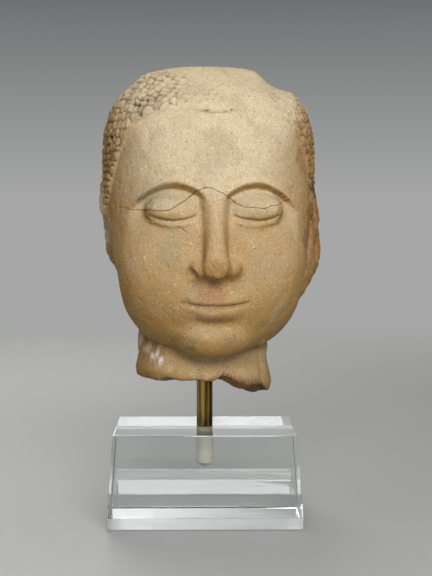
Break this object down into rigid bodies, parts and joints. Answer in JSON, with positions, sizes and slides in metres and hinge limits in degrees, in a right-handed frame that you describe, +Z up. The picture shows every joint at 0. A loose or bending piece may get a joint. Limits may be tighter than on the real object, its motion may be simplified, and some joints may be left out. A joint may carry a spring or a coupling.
{
  "type": "stone buddha head on a rod and block mount",
  "caption": "Carved sandstone head of a Buddha figure, broken at the neck, held upright by a brass rod in a clear tapered block.",
  "frame": {"origin": "middle of the clear block's underside, on the surface that the work stands on", "axes": "+Z up along the rod, -Y the way the face looks, +X to the right of a viewer who faces it"},
  "size_m": [0.1739, 0.2004, 0.3565],
  "materials": {
    "sandstone": "matte",
    "brass_rod": "satin",
    "clear_acrylic": "gloss"
  },
  "bodies": {
    "root": {"stone_head": "sandstone", "mount_rod": "brass_rod", "acrylic_block": "clear_acrylic"}
  },
  "joints": []
}
